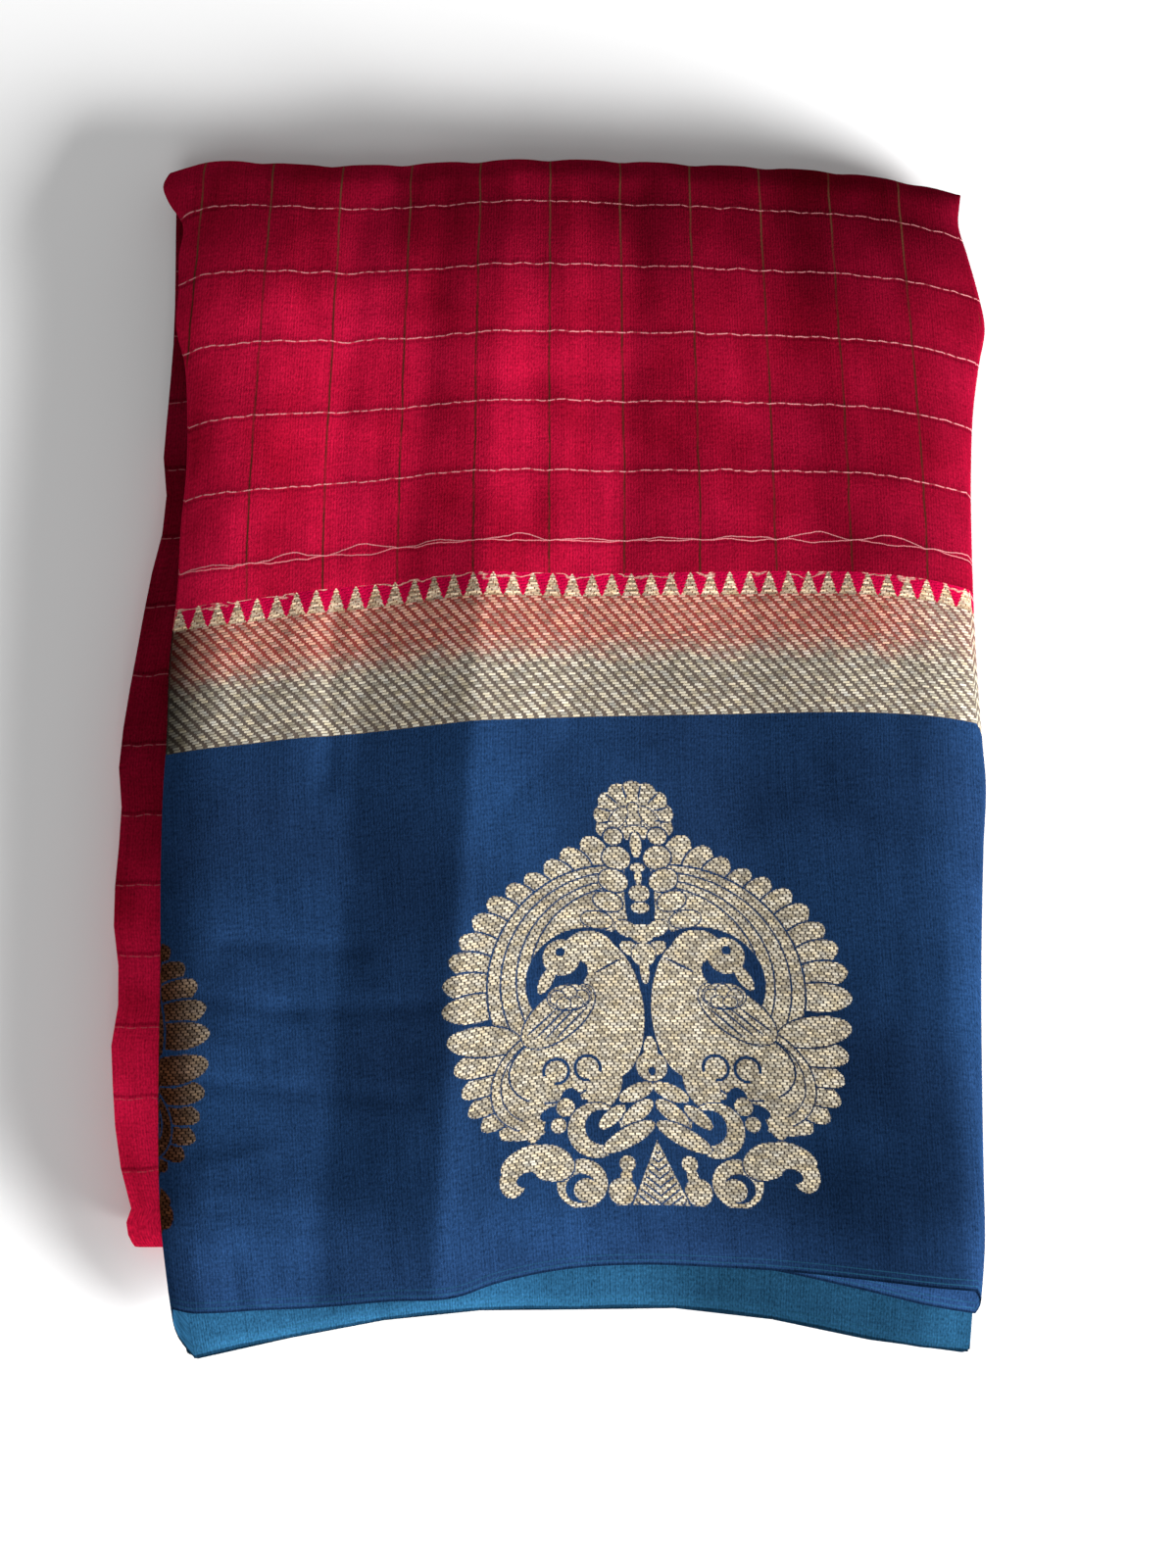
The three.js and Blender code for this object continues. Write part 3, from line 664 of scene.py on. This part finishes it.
MIDDLE_STEM = [
    ("gold", 7.2, 124.6, 4.9, 4.2, 20, 0.7), ("gold", 8.8, 116.4, 5.2, 3.9, 22, 0.7),
    ("gold", 11.2, 108.8, 5.2, 3.4, 20, 0.7), ("gold", 15.6, 102.2, 5.6, 3.0, 12, 0.7),
    ("gold", 0, 121, 2.6, 1.6, 0, 0), ("gold", 0, 117.6, 1.2, 3.0, 0, 0),
    ("gold", 0, 111.6, 3.6, 3.0, 0, 0), ("gold", 0, 106.4, 3.2, 2.0, 0, 0.5),
    ("gold", 5.4, 98.8, 4.4, 2.7, 28, 0.4), ("gold", 0, 97, 4.2, 3.4, 0, 0),
    ("gold", 4.6, 91.6, 3.8, 2.4, 28, 0.5), ("gold", 0, 89.4, 4.2, 4.2, 0, 0.4),
    ("gold", 0, 84, 1.6, 5.2, 0, 0),
]
TAIL = [
    ("gold", 35, 46.6, 22.4, 17.4, -28, 0.7), ("gold", 35, 46.8, 18.6, 14.8, -28, 0.6),
    ("blue", 20, 30, 22, 8, 0, 0),
]
BIRD = [
    ("gold", 33.4, 50, 16.4, 11.8, -12, 0.9), ("gold", 26, 57, 17, 12, 0, 0),
    ("gold", 14.8, 70, 13.4, 25, -3, 0), ("gold", 19.2, 88, 10.2, 10.4, 0, 0),
    ("gold", 17, 42, 5.6, 9, 26, 0), ("gold", 42, 32.6, 3.8, 8.4, 10, 0),
    ("gold", 46, 27.6, 7.2, 1.7, 0, 0), ("blue", 27, 82.2, 7.6, 5.2, -30, 0),
    ("gold", 28.9, 89.2, 6.5, 6.4, 0, 0), ("gold", 34.6, 81.6, 2.2, 5.4, 32, 0),
    ("blue", 29.2, 91.2, 1.7, 1.7, 0, 0), ("blue", 12.6, 85.6, 5.8, 0.45, -27, 0),
    ("gold", 31.4, 68.4, 15.4, 7.6, -36, 0.75), ("gold", 27.2, 74.8, 7.6, 4.6, 0, 0.6),
    ("gold", 22.8, 74.6, 2.5, 2.4, 0, 0.45), ("gold", 27, 76.4, 2.5, 2.3, 0, 0.45),
    ("gold", 31.2, 74.8, 2.5, 2.4, 0, 0.45), ("gold", 25, 72.6, 2.4, 2.0, 0, 0.45),
    ("gold", 29.2, 72.6, 2.4, 2.0, 0, 0.45), ("blue", 27, 65.4, 8.4, 0.4, -42, 0),
    ("blue", 30.4, 66, 8.6, 0.4, -42, 0), ("blue", 34, 66, 8.2, 0.4, -40, 0),
    ("blue", 37.6, 66.4, 7, 0.4, -38, 0), ("blue", 22.4, 49, 5.0, 5.0, 0, 0),
    ("gold", 22.4, 49, 3.8, 3.8, 0, 0), ("gold", 19.8, 45.6, 2.4, 2.4, 0, 0),
    ("blue", 33.4, 48.6, 5.0, 5.0, 0, 0), ("gold", 33.4, 48.6, 3.8, 3.8, 0, 0),
    ("gold", 36.4, 45.2, 2.4, 2.4, 0, 0), ("blue", 29, 35.6, 4.2, 6.6, 0, 0),
    ("blue", 35, 33.8, 5.4, 2.6, -14, 0), ("gold", 31, 35.4, 3.2, 3.2, 0, 0.4),
    ("gold", 33.8, 29.2, 2.7, 2.7, 0, 0.4), ("gold", 21, 26.6, 9.8, 9.8, 0, 0.5),
    ("blue", 18.6, 27.6, 6.2, 6.4, 0, 0), ("gold", 15, 31.2, 6.0, 2.4, -40, 0.5),
]
FOOT_LEAVES = [
    ("gold", 0, 49, 5.4, 5.2, 0, 0), ("gold", 0, 54, 2.4, 5.8, 0, 0), ("blue", 0, 47.4, 1.3, 1.6, 0, 0),
    ("gold", 6, 39.8, 6.6, 2.8, -24, 0.6), ("gold", 6, 32.6, 6.8, 2.8, -38, 0.8),
    ("gold", 9.6, 24, 10.4, 3.3, -28, 0.8), ("gold", 10.8, 14.4, 2.8, 2.8, 0, 0.5),
    ("gold", 13.2, 4.6, 4.8, 4.8, 0, 0.6), ("gold", 11.8, 9, 2.0, 4.2, 12, 0),
    ("gold", 27, 8, 8.8, 8.6, 0, 0.7), ("blue", 27.6, 6.4, 5.4, 5.2, 0, 0),
    ("gold", 25.8, 5.6, 4.2, 4.0, 0, 0), ("gold", 37.6, 16.4, 8.6, 6.2, 24, 0.7),
    ("gold", 46.6, 18.6, 8.6, 4.4, -18, 0), ("gold", 51, 12, 4.6, 5.6, 0, 0),
    ("blue", 46.2, 11.8, 3.6, 2.6, -12, 0),
]


def charted(name):
    """The figure's mask at a chart place: 1 on metal thread, 0 on the ground. Its halves mirror by |across|.
    An oval is drawn with two pins and a string: its distance is half the sum of those to the pins, less its
    half length. Ovals are laid in turn: gold takes the smaller distance, blue the larger of its opposite."""
    made, given, result = group(name, [("Place", "Vector", None)], [("Mask", "Float")])
    snapped = put(made, "VectorMath", given["Place"], (0.36, 0.5, 1.0), operation="SNAP")
    place = put(made, "VectorMath", snapped, operation="ABSOLUTE")
    level = 10.0

    def lay(kind, across, up, wide, high, turn, rim):
        nonlocal level
        if high > wide:
            wide, high, turn = high, wide, turn + 90
        pin = np.sqrt(wide**2 - high**2) * np.array([np.cos(np.radians(turn)), np.sin(np.radians(turn))])
        string = 0
        for side in (1, -1):
            pinned = (across + side * pin[0], up + side * pin[1], 0)
            to_pin = put(made, "VectorMath", place, pinned, out=1, operation="DISTANCE")
            string = calc(made, "ADD", string, to_pin)
        slim = wide / high
        if kind == "blue" or rim:
            clear = calc(made, "MULTIPLY_ADD", string, -0.5 * slim, wide * slim + rim)
            level = calc(made, "MAXIMUM", level, clear)
        if kind == "gold":
            oval = calc(made, "MULTIPLY_ADD", string, 0.5 * slim, -wide * slim)
            level = calc(made, "MINIMUM", level, oval)

    def feathers(rows):
        for tip_x, tip_y, root_x, root_y, half in rows:
            run, rise = tip_x - root_x, tip_y - root_y
            long = np.hypot(run, rise) / 2
            turn = np.degrees(np.arctan2(rise, run))
            lay("gold", (tip_x + root_x) / 2, (tip_y + root_y) / 2, long, half, turn, 0.8)

    feathers(FEATHERS)
    for row in PLUMES + FINIAL + MIDDLE_STEM:
        lay(*row)
    feathers(LOW_FEATHERS)
    for row in TAIL + BIRD + FOOT_LEAVES:
        lay(*row)
    across = put(made, "SeparateXYZ", place)
    up = across.node.outputs[1]
    tip = calc(made, "MULTIPLY_ADD", across, 2.3, up)
    wedge = calc(made, "MULTIPLY", calc(made, "SUBTRACT", tip, 22.5), 0.4)
    level = calc(made, "MAXIMUM", level, calc(made, "SUBTRACT", 0.7, wedge))
    level = calc(made, "MINIMUM", level, wedge)
    slant = calc(made, "MULTIPLY_ADD", across, -0.8, up)
    chevron = calc(made, "SUBTRACT", 0.42, calc(made, "PINGPONG", slant, 1.5))
    level = calc(made, "MAXIMUM", level, calc(made, "MINIMUM", chevron, calc(made, "SUBTRACT", -0.6, wedge)))
    made.links.new(span(made, level, 0.16, -0.16), result["Mask"])
    return made


TARNISHED, BRIGHT = (0.36, 0.31, 0.235, 1), (0.62, 0.56, 0.44, 1)
FIGURE_WARP, BRONZE_AND_PAINTED_SHADE = (0.055, 0.045, 0.04, 1), (0.13, 0.055, 0.035, 1)
figure, tree, shader, flat = cloth_material("woven figure on blue", 0.55)
ground, height = blue_ground(tree, flat, BLUE_DEEP, BLUE_LIGHT)
sides = put(tree, "SeparateXYZ", flat)
centred = calc(tree, "ADD", calc(tree, "SUBTRACT", sides, FIGURE_U), FIGURE_PITCH / 2)
across = calc(tree, "SUBTRACT", calc(tree, "FLOORED_MODULO", centred, FIGURE_PITCH), FIGURE_PITCH / 2)
upward = calc(tree, "SUBTRACT", sides.node.outputs[1], FOOT)
from_foot = put(tree, "CombineXYZ", across, upward, 0.0)
chart = put(tree, "VectorMath", from_foot, (1 / SQUARE, 1 / SQUARE, 0), operation="MULTIPLY")
above = span(tree, upward, -0.2, 0.2)
mask = calc(tree, "MULTIPLY", placed(tree, charted("bird figure"), Place=chart)["Mask"], above)
tarnish = blend(tree, grain(tree, flat, 26, 7, 2.0), TARNISHED, BRIGHT)
metal = placed(
    tree, floats, Flat=flat, Row=0.95, Dash=2.3, Step=0.85, Gap=0.26, Gold=tarnish, Warp=FIGURE_WARP
)
# The metal thread toward the left end, where the cloth turns down, is darkened to bronze: partly the thread's
# own bronze colour, partly painted shade.
bronze_and_painted_shade = blend(tree, span(tree, sides, -134, -98), BRONZE_AND_PAINTED_SHADE, (1, 1, 1, 1))
thread = tinted(tree, metal["Colour"], bronze_and_painted_shade)
colour = blend(tree, mask, ground, thread)
finish_cloth(tree, shader, colour, height, 0.1)


cloth = bpy.data.objects.new("sari", cloth_mesh("sari"))
bpy.context.scene.collection.objects.link(cloth)
for made in (field, band, border, wrong_side, figure):
    cloth.data.materials.append(made)
thick = cloth.modifiers.new("thickness", "SOLIDIFY")
thick.thickness = SHEET * 0.001
thick.offset = 0
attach(cloth, "root")
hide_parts("sari_cloth")

# The floor: a plain pale studio surface.
floor_mesh = bpy.data.meshes.new("floor")
floor_mesh.from_pydata([(-9, -9, 0), (9, -9, 0), (9, 9, 0), (-9, 9, 0)], [], [(0, 1, 2, 3)])
floor = bpy.data.objects.new("floor", floor_mesh)
bpy.context.scene.collection.objects.link(floor)
pale_floor = bpy.data.materials.new("pale floor")
pale_floor.use_nodes = True
pale_floor.node_tree.nodes["Principled BSDF"].inputs["Base Color"].default_value = (0.9, 0.9, 0.9, 1)
pale_floor.node_tree.nodes["Principled BSDF"].inputs["Roughness"].default_value = 0.9
floor_mesh.materials.append(pale_floor)

# The light: a wide soft panel low at the front right, a weak one high at the front, and an even surround.
world = bpy.data.worlds.new("studio")
world.use_nodes = True
world.node_tree.nodes["Background"].inputs["Color"].default_value = (1, 1, 1, 1)
world.node_tree.nodes["Background"].inputs["Strength"].default_value = 0.32
bpy.context.scene.world = world
for name, place, size, power in [("key", (3.5, -2.2, 1.08), 1.7, 680), ("front", (-0.6, -3.0, 3.2), 2.6, 50)]:
    lamp = bpy.data.lights.new(name, "AREA")
    lamp.size = size
    lamp.energy = power
    holder = bpy.data.objects.new(name, lamp)
    holder.location = place
    aim = Vector((-place[0], -place[1], 0.02 - place[2]))
    holder.rotation_euler = aim.to_track_quat("-Z", "Y").to_euler()
    bpy.context.scene.collection.objects.link(holder)
bpy.context.scene.view_settings.view_transform = "Standard"

# The camera: nearly overhead, as the photograph was taken.
camera_data = bpy.data.cameras.new("camera")
camera_data.lens = 81
camera = bpy.data.objects.new("camera", camera_data)
bpy.context.scene.collection.objects.link(camera)
tilt = np.radians(80)
target = np.array([0.0128 - MIDDLE[0] * 0.001, -0.0085 - MIDDLE[1] * 0.001, 0.022])
camera.location = (target + 1.2 * np.array([0, -np.cos(tilt), np.sin(tilt)])).tolist()
camera.rotation_euler = (np.pi / 2 - tilt, 0, 0)
bpy.context.scene.camera = camera
